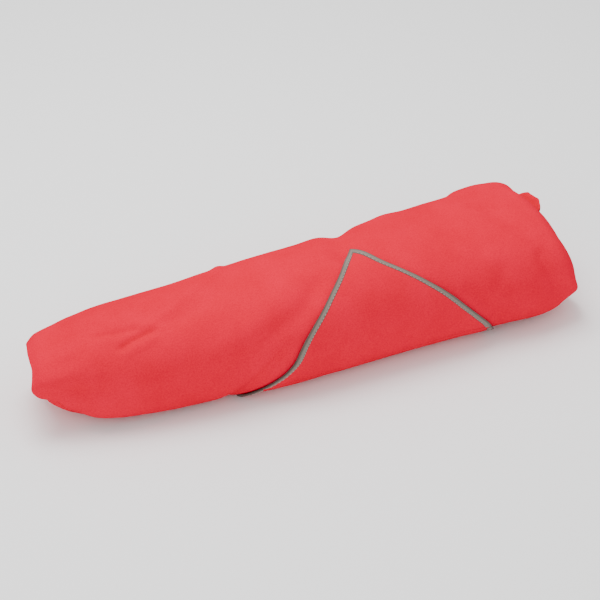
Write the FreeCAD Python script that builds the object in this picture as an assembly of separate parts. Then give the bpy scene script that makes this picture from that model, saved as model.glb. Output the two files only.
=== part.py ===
"""A pair of climbing skins, folded and rolled in a square brushed cloth.

Millimetres, +Z up.  X runs along the bundle, with the narrow end at -X, and -Y is
the front, where the cloth's last corner comes up from below and lies over the roll.
The origin is the centre of the bounding box in X and Y, on the flat underside.
"""
import FreeCAD, Part
import math
import os

V = FreeCAD.Vector

# ---- the roll: outer surface of the wrapped cloth ---------------------------------
# Each row is a cross-section: x, half width, top, bottom, sideways shift of its centre.
STATIONS = [
    (-233.0, 30.0, 58.0, 18.0, 14.0),
    (-226.0, 37.0, 63.5, 13.0, 11.5),
    (-211.0, 43.0, 69.0, 5.0, 8.5),
    (-184.0, 48.5, 76.0, -1.5, 6.0),
    (-130.0, 53.0, 82.0, -1.5, 1.5),
    (-54.0, 57.0, 88.5, -1.5, -1.5),
    (30.0, 58.0, 92.5, -1.5, -0.5),
    (108.0, 62.5, 93.0, -1.5, 4.0),
    (173.0, 70.0, 91.0, -1.5, 8.0),
    (206.0, 73.0, 89.5, -1.0, 10.5),
    (223.0, 68.0, 85.0, 3.0, 10.5),
    (233.0, 57.0, 71.0, 12.0, 9.5),
]
CENTRE_SHIFT = -9.9           # brings the bounding box's middle to y = 0
LONG_ROW = 60.0               # rows further apart than this get one more section between
SECTION_POINTS = 24
TOP_POWER = 2.4               # superellipse powers: the top is rounder than the bottom
BOTTOM_POWER = 3.0
WAIST = 0.47                  # height of the widest point, as a share of the section

CLOTH = 1.2                   # thickness of the wrapping cloth
GAP = 0.3                     # room between the lap and the base
LIFT = 0.7                    # room under the corner flap, which slides as it opens

# ---- how the cloth opens ------------------------------------------------------------
LAP_FRONT_Z = 12.0            # the lap's free front edge
LAP_HINGE_Z = 45.0            # the line at the back where the lap turns
LAP_HINGE_X = (-184.0, 206.0)  # the two places where that line comes nearest to the back
LAP_HINGE_OUT = 1.5           # and how far behind the cloth it lies there
LEFT_FOLD_X = -192.0          # the side corners tucked in reach from the ends to here
RIGHT_FOLD_X = 201.0
FLAP_APEX_X = 38.0            # the corner's point on the top of the roll
FLAP_REACH = 112.0            # from its root to its point, along the cloth
FLAP_VIEW_TILT = 70.0         # the outline is cut square to this direction, from +Z
FLAP_TIP_SHARE = 0.60         # where the corner bends a second time when it opens
OUTLINE_POINTS = 9
BINDING_WIDTH = 4.5
BINDING_THICKNESS = 1.8
AXIS_RISE = 0.5               # the second bend turns this far outside the binding

# ---- the two skins ------------------------------------------------------------------
SKIN_Y = -6.0                 # middle of the strips
NARROW_END = (-200.0, 71.0)   # x and width of the strips at the big folds
WIDE_END = (170.0, 92.0)      # x and width at the tip
PLUSH = 2.8
BACKING = 0.9
SAVER = 0.4                   # glue saver sheet between the two glued faces
SHEET_GAP = 0.1
NEAR_BACKING = SAVER / 2 + SHEET_GAP   # distances from the middle of a glued pair
NEAR_PLUSH = NEAR_BACKING + BACKING
FAR_PLUSH = NEAR_PLUSH + PLUSH
LOOP_INNER_R = 4.0            # inside of the big folds, at the -X end
LOOP_CENTRE_X = -184.0
TIP_RUN = 352.0               # straight run from the big folds to the tip
TAIL_RUN = 283.0              # the same to the tail, which lies under the tip
FOLD_RUN = 337.0              # the same to the tight fold of the lower pair
SKINS = [                     # name, height of the big folds, lean of the pairs, tilt
    ("skin_1", 23.6, 0.60, 0.35),
    ("skin_2", 48.2, 0.45, 1.75),
]

# ---- tip loop and tail hook -----------------------------------------------------------
TAB_LENGTH = 26.0
TAB_RISE = 0.1                # room between the plush and what is laid on it
TAB_THICKNESS = 1.2
EYE_WALL = 1.0
WIRE_R = 1.5
RUNNING_CLEARANCE = 0.05
LOOP_WIDTH = 42.0             # between the middles of the wire's two sides
LOOP_LENGTH = 24.0
LOOP_CORNER_R = 6.0
EYE_WIDTH = 28.0
EYE_STAND_OFF = 2.0           # from the skin's cut end to the eye
STRAP_WIDTH = 24.0
PIN_R = 1.0
PIN_HEAD_R = 1.9
PIN_HEAD = 0.8
HOOK_PLATE = 1.5
HOOK_LENGTH = 19.0
HOOK_WIDTH = 22.0
HOOK_LIP = 4.0
HOOK_EYE_WIDTH = 11.6
HOOK_PLAY = 0.2
HOOK_CORNER_R = 3.0
HOOK_SLOT = (12.0, 5.0)
RIVET_R = 2.0
RIVET_HEAD_R = 3.6
RIVET_HEAD = 0.7
RIVET_INSET = 14.0            # from the skin's cut end
TIP_RIVET_SPACING = 30.0
TAIL_RIVET_SPACING = 12.0

BIG = 600.0                   # size of a cutting block, larger than the roll from any point of it


def slopes(xs, ys):
    """Slope of a smooth curve at each row of a table."""
    steps = [(ys[i + 1] - ys[i]) / (xs[i + 1] - xs[i]) for i in range(len(xs) - 1)]
    inner = [(steps[i] + steps[i + 1]) / 2 for i in range(len(steps) - 1)]
    return [steps[0]] + inner + [steps[-1]]


def along(column, x):
    """Value of one column of STATIONS at x, on a smooth curve through the rows."""
    xs = [row[0] for row in STATIONS]
    ys = [row[column] for row in STATIONS]
    tangents = slopes(xs, ys)
    i = 0
    while i < len(xs) - 2 and x > xs[i + 1]:
        i += 1
    width = xs[i + 1] - xs[i]
    t = (x - xs[i]) / width
    start = (2 * t**3 - 3 * t**2 + 1) * ys[i] + (t**3 - 2 * t**2 + t) * width * tangents[i]
    end = (-2 * t**3 + 3 * t**2) * ys[i + 1] + (t**3 - t**2) * width * tangents[i + 1]
    return start + end


def section_point(x, angle, offset):
    """Point of the roll's section at x; angle 0 faces +Y and 90 degrees is the top."""
    half = along(1, x) + offset
    top = along(2, x) + offset
    bottom = along(3, x) - offset
    middle = bottom + (top - bottom) * WAIST
    cosine = math.cos(angle)
    sine = math.sin(angle)
    reach = top - middle if sine >= 0 else middle - bottom
    power = TOP_POWER if sine >= 0 else BOTTOM_POWER
    size = (abs(cosine / half) ** power + abs(sine / reach) ** power) ** (-1.0 / power)
    return V(x, along(4, x) + CENTRE_SHIFT + size * cosine, middle + size * sine)


def section_wire(x, offset, shift=0.0):
    points = []
    for i in range(SECTION_POINTS):
        point = section_point(x, 2 * math.pi * i / SECTION_POINTS, offset)
        points.append(V(x + shift, point.y, point.z))
    curve = Part.BSplineCurve()
    curve.interpolate(Points=points, PeriodicFlag=True)
    return Part.Wire([curve.toShape()])


def roll(offset):
    """Solid roll, its surface moved out by offset, standing on a flat underside."""
    first = STATIONS[0][0]
    last = STATIONS[-1][0]
    places = [first]
    for i in range(len(STATIONS) - 1):
        x0 = STATIONS[i][0]
        x1 = STATIONS[i + 1][0]
        if x1 - x0 > LONG_ROW:
            places.append((x0 + x1) / 2)
        places.append(x1)
    stretch = (last - first + 2 * offset) / (last - first)
    sections = []
    for x in places:
        moved = first - offset + (x - first) * stretch
        sections.append(section_wire(x, offset, moved - x))
    solid = Part.makeLoft(sections, True, False)
    floor = max(0.0, -offset)
    keep = Part.makeBox(2 * BIG, BIG, BIG, V(-BIG, -BIG / 2, floor))
    return solid.common(keep)


def lap_lines():
    """The lap's hinge line (two points) and the plane that parts it from the base."""
    back = []
    for x in LAP_HINGE_X:
        point = min((section_point(x, math.radians(a / 4.0), 0.0) for a in range(-160, 160)),
                    key=lambda p: abs(p.z - LAP_HINGE_Z))
        back.append(point + V(0, LAP_HINGE_OUT, 0))
    front = lip_point(FLAP_APEX_X, 0.0)
    normal = (back[1] - back[0]).cross(front - back[0])
    normal.normalize()
    if normal.z < 0:
        normal = normal * -1
    return back, normal


def lip_angle(x, offset):
    """Section angle of the lap's front edge at x."""
    low = math.radians(181.0)
    high = math.radians(262.0)
    for _ in range(40):
        middle = (low + high) / 2
        if section_point(x, middle, offset).z > LAP_FRONT_Z:
            low = middle
        else:
            high = middle
    return (low + high) / 2


def lip_point(x, offset):
    return section_point(x, lip_angle(x, offset), offset)


def half_space(point, normal):
    """Block on the side of a plane that its normal points to."""
    block = Part.makeBox(2 * BIG, 2 * BIG, BIG, V(-BIG, -BIG, 0))
    turn = FreeCAD.Rotation(V(0, 0, 1), normal)
    block.Placement = FreeCAD.Placement(point, turn)
    return block


def up_the_front(x, distance, offset):
    """Point on the roll at x, a distance along the cloth above its front edge, and the
    direction in which the cloth goes on from there."""
    angle = lip_angle(x, offset)
    step = math.radians(0.5)
    here = section_point(x, angle, offset)
    gone = 0.0
    while True:
        ahead = section_point(x, angle - step, offset)
        length = (ahead - here).Length
        if gone + length >= distance:
            break
        gone += length
        angle -= step
        here = ahead
    direction = (ahead - here) * (1.0 / length)
    return here + direction * (distance - gone), direction


def flap_cut(inset):
    """Block that holds the corner flap: its outline, drawn on the flat cloth as a right
    angle at the apex, laid on the roll and cut straight through it."""
    tilt = math.radians(FLAP_VIEW_TILT)
    view = V(0, -math.sin(tilt), math.cos(tilt))
    outward = view * BIG
    sides = []
    pull = inset * math.sqrt(2)
    for side in (-1, 1):
        points = []
        for i in range(OUTLINE_POINTS):
            distance = (FLAP_REACH - pull) * i / (OUTLINE_POINTS - 1)
            x = FLAP_APEX_X + side * (FLAP_REACH - pull - distance)
            point, _ = up_the_front(x, distance, CLOTH)
            points.append(point - view * point.dot(view))
        sides.append(points)
    sides[1][-1] = sides[0][-1]
    edges = []
    for points in sides:
        curve = Part.BSplineCurve()
        curve.interpolate(Points=points)
        edges.append(curve.toShape())
    below = V(0, -math.cos(tilt), -math.sin(tilt)) * 30.0
    left, right = sides[0][0], sides[1][0]
    edges.append(Part.makeLine(left, left + below))
    edges.append(Part.makeLine(left + below, right + below))
    edges.append(Part.makeLine(right + below, right))
    face = Part.Face(Part.Wire(Part.__sortEdges__(edges)))
    return face.extrude(outward)


def flap_hinges():
    """Axis lines of the corner's root, and of its second bend with the cloth's direction."""
    root = []
    for x in (FLAP_APEX_X - FLAP_REACH, FLAP_APEX_X + FLAP_REACH):
        root.append(lip_point(x, LIFT + CLOTH))
    bend = []
    height = FLAP_REACH * FLAP_TIP_SHARE
    for x in (FLAP_APEX_X - FLAP_REACH + height, FLAP_APEX_X + FLAP_REACH - height):
        point, direction = up_the_front(x, height, LIFT + BINDING_THICKNESS + AXIS_RISE)
        bend.append((point, direction))
    return root, bend


def solids_only(shape):
    parts = [s for s in shape.Solids if s.Volume > 1.0]
    return parts[0] if len(parts) == 1 else Part.makeCompound(parts)


def export(shape, name):
    shape.exportStep("parts/%s.step" % name)
    points = shape.tessellate(0.5)[0]
    low = [min(p[i] for p in points) for i in range(3)]
    high = [max(p[i] for p in points) for i in range(3)]
    print("%-24s %d solids  x %.1f..%.1f  y %.1f..%.1f  z %.1f..%.1f  %.0f mm3  valid %s" % (
        name, len(shape.Solids), low[0], high[0], low[1], high[1], low[2], high[2],
        shape.Volume, shape.isValid()))


def make_wrap():
    """The base under the skins, the lap over them, and the tucked side corners."""
    shell = roll(0.0).cut(roll(-CLOTH))
    back, normal = lap_lines()
    lap = shell.common(half_space(back[0] + normal * GAP, normal))
    base = shell.common(half_space(back[0], normal * -1))
    export(solids_only(base), "wrap_base")
    export(solids_only(lap), "wrap_lap")
    lining = roll(-CLOTH - GAP).cut(roll(-2 * CLOTH - GAP))
    lining = lining.common(half_space(back[0] - normal, normal * -1))
    for name, x, side in (("left_corner_fold", LEFT_FOLD_X, -1), ("right_corner_fold", RIGHT_FOLD_X, 1)):
        export(solids_only(lining.common(half_space(V(x, 0, 0), V(side, 0, 0)))), name)


def make_flap():
    """The last corner: lower part, tip, and the binding along both edges."""
    inside = roll(LIFT)
    layer = roll(LIFT + CLOTH).cut(inside)
    thick = roll(LIFT + BINDING_THICKNESS).cut(inside)
    root, bend = flap_hinges()
    above_root = half_space(V(0, 0, LAP_FRONT_Z + GAP), V(0, 0, 1))
    middle = (bend[0][1] + bend[1][1]) * 0.5
    axis = (bend[1][0] - bend[0][0])
    axis.normalize()
    across = middle - axis * middle.dot(axis)
    across.normalize()
    inner = flap_cut(BINDING_WIDTH)
    band = flap_cut(0.0).cut(inner)
    for shape, name, lower in ((layer.common(inner), "corner_flap", True),
                               (layer.common(inner), "corner_flap_tip", False)):
        cutter = half_space(bend[0][0], across * -1) if lower else half_space(
            bend[0][0] + across * GAP, across)
        piece = shape.common(above_root).common(cutter)
        export(solids_only(piece), name)
    binding = thick.common(band).common(above_root)
    for side, word in ((-1, "left"), (1, "right")):
        half = binding.common(half_space(V(FLAP_APEX_X, 0, 0), V(side, 0, 0)))
        low = half.common(half_space(bend[0][0], across * -1))
        high = half.common(half_space(bend[0][0] + across * GAP, across))
        export(solids_only(low), "flap_binding_%s" % word)
        export(solids_only(high), "tip_binding_%s" % word)


class SkinPath:
    """The side view of one folded skin.  Two glued pairs of runs leave the big folds at
    -X: the upper pair (side +1) ends in the tip and the tail, the lower in a tight fold."""

    def __init__(self, level, lean, tilt):
        self.centre = V(LOOP_CENTRE_X, 0, level)
        self.lean = math.radians(lean)
        self.tilt = math.radians(tilt)
        self.mid_r = LOOP_INNER_R + FAR_PLUSH
        self.inner_r = LOOP_INNER_R
        self.outer_r = self.mid_r + FAR_PLUSH

    def direction(self, side):
        angle = side * self.lean + self.tilt
        return V(math.cos(angle), 0, math.sin(angle))

    def normal(self, side):
        angle = side * self.lean + self.tilt
        return V(-math.sin(angle), 0, math.cos(angle)) * side

    def point(self, side, radius, distance):
        return self.centre + self.normal(side) * radius + self.direction(side) * distance

    def loop(self, radius, first, last):
        far = self.centre - V(radius, 0, 0)
        start = self.point(first, radius, 0)
        return Part.Arc(start, far, self.point(last, radius, 0)).toShape()

    def fold(self, radius, outside_first):
        """Arc of the tight fold, at the free end of the lower pair."""
        sign = 1 if outside_first else -1
        start = self.point(-1, self.mid_r + sign * radius, FOLD_RUN)
        end = self.point(-1, self.mid_r - sign * radius, FOLD_RUN)
        far = self.point(-1, self.mid_r, FOLD_RUN) + self.direction(-1) * radius
        return Part.Arc(start, far, end).toShape()

    def run(self, side, radius, start, end):
        return Part.makeLine(self.point(side, radius, start), self.point(side, radius, end))

    def cut_end(self, first, last, distance):
        return Part.makeLine(self.point(1, first, distance), self.point(1, last, distance))

    def ply(self, near, far):
        """One ply of the skin, between near and far from the middle of a glued pair."""
        outer = self.mid_r + far
        outer_in = self.mid_r + near
        inner = self.mid_r - far
        inner_in = self.mid_r - near
        return self.strip([
            self.run(1, outer, TIP_RUN, 0),
            self.loop(outer, 1, -1),
            self.run(-1, outer, 0, FOLD_RUN),
            self.fold(far, True),
            self.run(-1, inner, FOLD_RUN, 0),
            self.loop(inner, -1, 1),
            self.run(1, inner, 0, TAIL_RUN),
            self.cut_end(inner, inner_in, TAIL_RUN),
            self.run(1, inner_in, TAIL_RUN, 0),
            self.loop(inner_in, 1, -1),
            self.run(-1, inner_in, 0, FOLD_RUN),
            self.fold(near, False),
            self.run(-1, outer_in, FOLD_RUN, 0),
            self.loop(outer_in, -1, 1),
            self.run(1, outer_in, 0, TIP_RUN),
            self.cut_end(outer_in, outer, TIP_RUN),
        ])

    def saver(self):
        """Sheet between the glued faces, following both pairs round the big folds."""
        low = self.mid_r - SAVER / 2
        high = self.mid_r + SAVER / 2
        end = FOLD_RUN - 1.0
        return self.strip([
            self.run(1, high, TIP_RUN, 0),
            self.loop(high, 1, -1),
            self.run(-1, high, 0, end),
            Part.makeLine(self.point(-1, high, end), self.point(-1, low, end)),
            self.run(-1, low, end, 0),
            self.loop(low, -1, 1),
            self.run(1, low, 0, TIP_RUN),
            self.cut_end(low, high, TIP_RUN),
        ])

    def strip(self, edges):
        """Solid of the closed outline, cut to the skin's tapered width."""
        wide = WIDE_END[1]
        face = Part.Face(Part.Wire(edges))
        strip = face.extrude(V(0, wide + 20.0, 0))
        strip.translate(V(0, SKIN_Y - wide / 2 - 10.0, 0))
        spread = (WIDE_END[1] - NARROW_END[1]) / (WIDE_END[0] - NARROW_END[0]) / 2
        for side in (-1, 1):
            edge = V(NARROW_END[0], SKIN_Y + side * NARROW_END[1] / 2, 0)
            strip = strip.cut(half_space(edge, V(-spread, side, 0)))
        return strip


def box_at(x0, x1, y_mid, width, z0, z1):
    return Part.makeBox(x1 - x0, width, z1 - z0, V(x0, y_mid - width / 2, z0))


def rod(x, y0, y1, z, radius):
    return Part.makeCylinder(radius, y1 - y0, V(x, y0, z), V(0, 1, 0))


def rivets(x, spacing, z_low, z_high):
    """Two rivets with flat heads, clamping what lies between z_low and z_high."""
    parts = []
    for side in (-1, 1):
        y = SKIN_Y + side * spacing / 2
        shank = Part.makeCylinder(RIVET_R, z_high - z_low, V(x, y, z_low))
        upper = Part.makeCylinder(RIVET_HEAD_R, RIVET_HEAD, V(x, y, z_high))
        lower = Part.makeCylinder(RIVET_HEAD_R, RIVET_HEAD, V(x, y, z_low - RIVET_HEAD))
        parts.append(upper.fuse(shank).fuse(lower).removeSplitter())
    return Part.makeCompound(parts)


def wire_loop(x, z):
    """Closed rectangle of round wire, its near side lying in the tab's eye."""
    half = LOOP_WIDTH / 2
    r = LOOP_CORNER_R
    far = x + LOOP_LENGTH
    lean = r * (1 - math.sqrt(0.5))
    edges = []
    last = None
    for cx, cy, sx, sy in ((x, half, -1, 1), (far, half, 1, 1), (far, -half, 1, -1),
                           (x, -half, -1, -1)):
        side_end = V(cx, SKIN_Y + cy - sy * r, z)
        end_end = V(cx - sx * r, SKIN_Y + cy, z)
        middle = V(cx - sx * lean, SKIN_Y + cy - sy * lean, z)
        start, stop = (side_end, end_end) if sx * sy < 0 else (end_end, side_end)
        if last is None:
            first = start
        else:
            edges.append(Part.makeLine(last, start))
        edges.append(Part.Arc(start, middle, stop).toShape())
        last = stop
    edges.append(Part.makeLine(last, first))
    circle = Part.Wire([Part.makeCircle(WIRE_R, first, V(0, 1, 0))])
    return Part.Wire(edges).makePipeShell([circle], True, False)


def make_tip(path):
    """Webbing tab on the tip's upper face, its rivets, and the wire loop in its eye."""
    top = path.point(1, path.outer_r, TIP_RUN)
    bore = WIRE_R + RUNNING_CLEARANCE
    outer = bore + EYE_WALL
    low = top.z + TAB_RISE
    x = top.x + outer + EYE_STAND_OFF
    z = low + TAB_THICKNESS / 2
    tab = box_at(top.x - TAB_LENGTH, x, SKIN_Y, EYE_WIDTH, low, low + TAB_THICKNESS)
    tab = tab.fuse(rod(x, SKIN_Y - EYE_WIDTH / 2, SKIN_Y + EYE_WIDTH / 2, z, outer))
    tab = tab.cut(rod(x, SKIN_Y - EYE_WIDTH, SKIN_Y + EYE_WIDTH, z, bore))
    foot = path.point(1, path.mid_r + NEAR_BACKING, TIP_RUN - RIVET_INSET).z
    pins = rivets(top.x - RIVET_INSET, TIP_RIVET_SPACING, foot, low + TAB_THICKNESS)
    return tab.removeSplitter(), pins, wire_loop(x, z), V(x, SKIN_Y, z)


def make_tail(path):
    """Webbing strap under the tail, its rivets, and a hook that turns on a pin."""
    under = path.point(1, path.inner_r, TAIL_RUN)
    start = path.point(1, path.inner_r, TAIL_RUN - TAB_LENGTH)
    bore = PIN_R + RUNNING_CLEARANCE
    outer = bore + EYE_WALL
    high = start.z - TAB_RISE
    x = under.x + outer + EYE_STAND_OFF
    z = high - TAB_THICKNESS / 2
    half = STRAP_WIDTH / 2
    strap = box_at(start.x, x, SKIN_Y, STRAP_WIDTH, high - TAB_THICKNESS, high)
    strap = strap.fuse(rod(x, SKIN_Y - half, SKIN_Y + half, z, outer))
    notch = box_at(x - outer - HOOK_PLAY, x + 2 * outer, SKIN_Y, HOOK_EYE_WIDTH + 2 * HOOK_PLAY,
                   z - 2 * outer, z + 2 * outer)
    strap = strap.cut(notch).cut(rod(x, SKIN_Y - 2 * half, SKIN_Y + 2 * half, z, PIN_R))
    pin = rod(x, SKIN_Y - half - PIN_HEAD, SKIN_Y + half + PIN_HEAD, z, PIN_R)
    for face in (SKIN_Y - half - PIN_HEAD, SKIN_Y + half):
        pin = pin.fuse(rod(x, face, face + PIN_HEAD, z, PIN_HEAD_R))
    top = path.point(1, path.mid_r - NEAR_BACKING, TAIL_RUN - RIVET_INSET).z
    pins = rivets(under.x - RIVET_INSET, TAIL_RIVET_SPACING, high - TAB_THICKNESS, top)
    return strap.removeSplitter(), pins, pin.removeSplitter(), make_hook(x, z), V(x, SKIN_Y, z)


def make_hook(x, z):
    """Flat hook: an eye on the pin, a slotted plate and a turned-down lip."""
    bore = PIN_R + RUNNING_CLEARANCE
    outer = bore + EYE_WALL
    half_eye = HOOK_EYE_WIDTH / 2
    low = z - HOOK_PLATE / 2
    near = x + outer + HOOK_PLAY
    tip = near + HOOK_LENGTH
    neck = box_at(x, near + 1.0, SKIN_Y, HOOK_EYE_WIDTH, low, low + HOOK_PLATE)
    plate = box_at(near, tip, SKIN_Y, HOOK_WIDTH, low, low + HOOK_PLATE)
    corners = [e for e in plate.Edges if abs(e.Length - HOOK_PLATE) < 0.01]
    plate = plate.makeFillet(HOOK_CORNER_R, corners)
    slot_x = near + HOOK_LENGTH / 2
    slot = box_at(slot_x - HOOK_SLOT[1] / 2, slot_x + HOOK_SLOT[1] / 2, SKIN_Y, HOOK_SLOT[0],
                  low - 1.0, low + HOOK_PLATE + 1.0)
    lip = box_at(tip - HOOK_PLATE, tip, SKIN_Y, HOOK_WIDTH - 2 * HOOK_CORNER_R,
                 low - HOOK_LIP, low + HOOK_PLATE / 2)
    hook = neck.fuse(rod(x, SKIN_Y - half_eye, SKIN_Y + half_eye, z, outer))
    hook = hook.fuse(plate).fuse(lip).cut(slot)
    return hook.cut(rod(x, SKIN_Y - HOOK_WIDTH, SKIN_Y + HOOK_WIDTH, z, bore)).removeSplitter()


def make_skin(name, level, lean, tilt):
    """One folded skin with everything fastened to its tip and its tail."""
    path = SkinPath(level, lean, tilt)
    tab, tip_rivets, loop, loop_axis = make_tip(path)
    strap, tail_rivets, pin, hook, hook_axis = make_tail(path)
    holes = Part.makeCompound(tip_rivets.Solids + tail_rivets.Solids)
    export(path.ply(NEAR_PLUSH, FAR_PLUSH).cut(holes), name + "_plush")
    export(path.ply(NEAR_BACKING, NEAR_PLUSH).cut(holes), name + "_backing")
    export(path.saver().cut(holes), name + "_glue_saver")
    export(tab.cut(tip_rivets), name + "_tip_tab")
    export(tip_rivets, name + "_tip_rivets")
    export(loop, name + "_tip_loop")
    export(strap.cut(tail_rivets), name + "_tail_strap")
    export(tail_rivets, name + "_tail_rivets")
    export(pin, name + "_hook_pin")
    export(hook, name + "_tail_hook")
    for word, axis in (("loop", loop_axis), ("hook", hook_axis)):
        print("%s %s axis at %.3f %.3f %.3f" % (name, word, axis.x, axis.y, axis.z))


if __name__ == "__main__":
    os.makedirs("parts", exist_ok=True)
    for skin in SKINS:
        make_skin(*skin)
    make_wrap()
    make_flap()
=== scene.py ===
"""Looks of the rolled climbing skins: brushed red cloth with a bound corner, skins inside.

Lengths in the tables are millimetres; MM turns them into metres.
+X runs along the roll towards its wide end, -Y is the front, +Z is up.
"""
import math

import bpy
import bmesh
import numpy as np
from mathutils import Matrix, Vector, noise


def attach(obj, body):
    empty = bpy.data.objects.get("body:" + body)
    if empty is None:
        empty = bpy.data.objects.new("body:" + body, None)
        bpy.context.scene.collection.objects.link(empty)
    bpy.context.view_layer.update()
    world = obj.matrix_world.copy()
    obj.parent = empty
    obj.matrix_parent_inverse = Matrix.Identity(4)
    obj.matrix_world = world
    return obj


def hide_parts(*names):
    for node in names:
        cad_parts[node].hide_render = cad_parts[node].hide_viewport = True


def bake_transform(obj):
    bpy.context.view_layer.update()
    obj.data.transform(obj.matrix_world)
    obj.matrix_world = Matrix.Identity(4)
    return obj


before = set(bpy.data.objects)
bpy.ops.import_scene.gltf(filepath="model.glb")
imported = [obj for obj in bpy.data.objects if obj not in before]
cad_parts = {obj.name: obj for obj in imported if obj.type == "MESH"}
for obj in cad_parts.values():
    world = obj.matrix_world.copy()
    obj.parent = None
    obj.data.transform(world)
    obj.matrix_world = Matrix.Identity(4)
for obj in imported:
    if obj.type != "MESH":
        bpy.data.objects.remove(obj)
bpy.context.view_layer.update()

MM = 0.001

# ---- the roll's surface, as in the CAD part ---------------------------------------
# Each row is a cross-section: x, half width, top, bottom, sideways shift of its centre.
STATIONS = np.array([
    (-233.0, 30.0, 58.0, 18.0, 14.0),
    (-226.0, 37.0, 63.5, 13.0, 11.5),
    (-211.0, 43.0, 69.0, 5.0, 8.5),
    (-184.0, 48.5, 76.0, -1.5, 6.0),
    (-130.0, 53.0, 82.0, -1.5, 1.5),
    (-54.0, 57.0, 88.5, -1.5, -1.5),
    (30.0, 58.0, 92.5, -1.5, -0.5),
    (108.0, 62.5, 93.0, -1.5, 4.0),
    (173.0, 70.0, 91.0, -1.5, 8.0),
    (206.0, 73.0, 89.5, -1.0, 10.5),
    (223.0, 68.0, 85.0, 3.0, 10.5),
    (233.0, 57.0, 71.0, 12.0, 9.5),
])
CENTRE_SHIFT = -9.9             # brings the bounding box's middle to y = 0
TOP_POWER = 2.4                 # superellipse powers: the top is rounder than the bottom
BOTTOM_POWER = 3.0
WAIST = 0.47                    # height of the widest point, as a share of the section
END = 233.0                     # x of the roll's two ends
CLOTH = 1.2                     # cloth thickness
LIFT = 0.7                      # room under the corner flap
LIP_Z = 12.0                    # the lap's free front edge
APEX_X = 38.0                   # the corner's point on the top of the roll
REACH = 112.0                   # from its root to its point, along the cloth
TIP_SHARE = 0.60                # where the corner bends a second time when it opens
BINDING_WIDTH = 4.5
BINDING_THICKNESS = 1.8
HINGE_X = (-184.0, 206.0)       # the two places that the lap's hinge line goes through
HINGE_Z = 45.0
HINGE_OUT = 1.5                 # how far behind the cloth it lies there


def along(column, x):
    """Value of one column of STATIONS at x, on a smooth curve through the rows."""
    xs = STATIONS[:, 0]
    ys = STATIONS[:, column]
    steps = np.diff(ys) / np.diff(xs)
    tangents = np.concatenate([[steps[0]], (steps[1:] + steps[:-1]) / 2, [steps[-1]]])
    x = np.asarray(x, float)
    i = np.clip(np.searchsorted(xs, x) - 1, 0, len(xs) - 2)
    width = xs[i + 1] - xs[i]
    t = (x - xs[i]) / width
    start = (2 * t**3 - 3 * t**2 + 1) * ys[i] + (t**3 - 2 * t**2 + t) * width * tangents[i]
    end = (-2 * t**3 + 3 * t**2) * ys[i + 1] + (t**3 - t**2) * width * tangents[i + 1]
    return start + end


def section(x, angle, offset=0.0):
    """Points of the roll's section at x; angle 0 faces +Y and 90 degrees is the top."""
    half = along(1, x) + offset
    top = along(2, x) + offset
    bottom = along(3, x) - offset
    middle = bottom + (top - bottom) * WAIST
    cosine = np.cos(angle)
    sine = np.sin(angle)
    reach = np.where(sine >= 0, top - middle, middle - bottom)
    power = np.where(sine >= 0, TOP_POWER, BOTTOM_POWER)
    size = (np.abs(cosine / half) ** power + np.abs(sine / reach) ** power) ** (-1 / power)
    y = along(4, x) + CENTRE_SHIFT + size * cosine
    return np.stack([x + 0 * y, y, middle + size * sine], -1)


def hinge_point(x):
    """Place at x on the line behind the roll where the lap turns."""
    ring = section(np.full(320, x), np.radians(np.arange(-160, 160) / 4.0))
    nearest = ring[np.argmin(np.abs(ring[:, 2] - HINGE_Z))]
    return nearest + np.array((0.0, HINGE_OUT, 0.0))


def parting_plane():
    """Normal of the plane that parts the lap from the base, and its distance from the origin."""
    ring = section(np.full(2000, APEX_X), np.radians(np.linspace(181.0, 262.0, 2000)))
    lip = np.array([np.interp(-LIP_Z, -ring[:, 2], ring[:, i]) for i in range(3)])
    normal = np.cross(HINGE[1] - HINGE[0], lip - HINGE[0])
    normal *= np.sign(normal[2]) / np.linalg.norm(normal)
    return normal, normal.dot(HINGE[0])


HINGE = [hinge_point(x) for x in HINGE_X]
PLANE_NORMAL, PLANE_DISTANCE = parting_plane()


def smooth(a, b, v):
    t = np.clip((v - a) / (b - a), 0.0, 1.0)
    return t * t * (3 - 2 * t)


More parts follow.
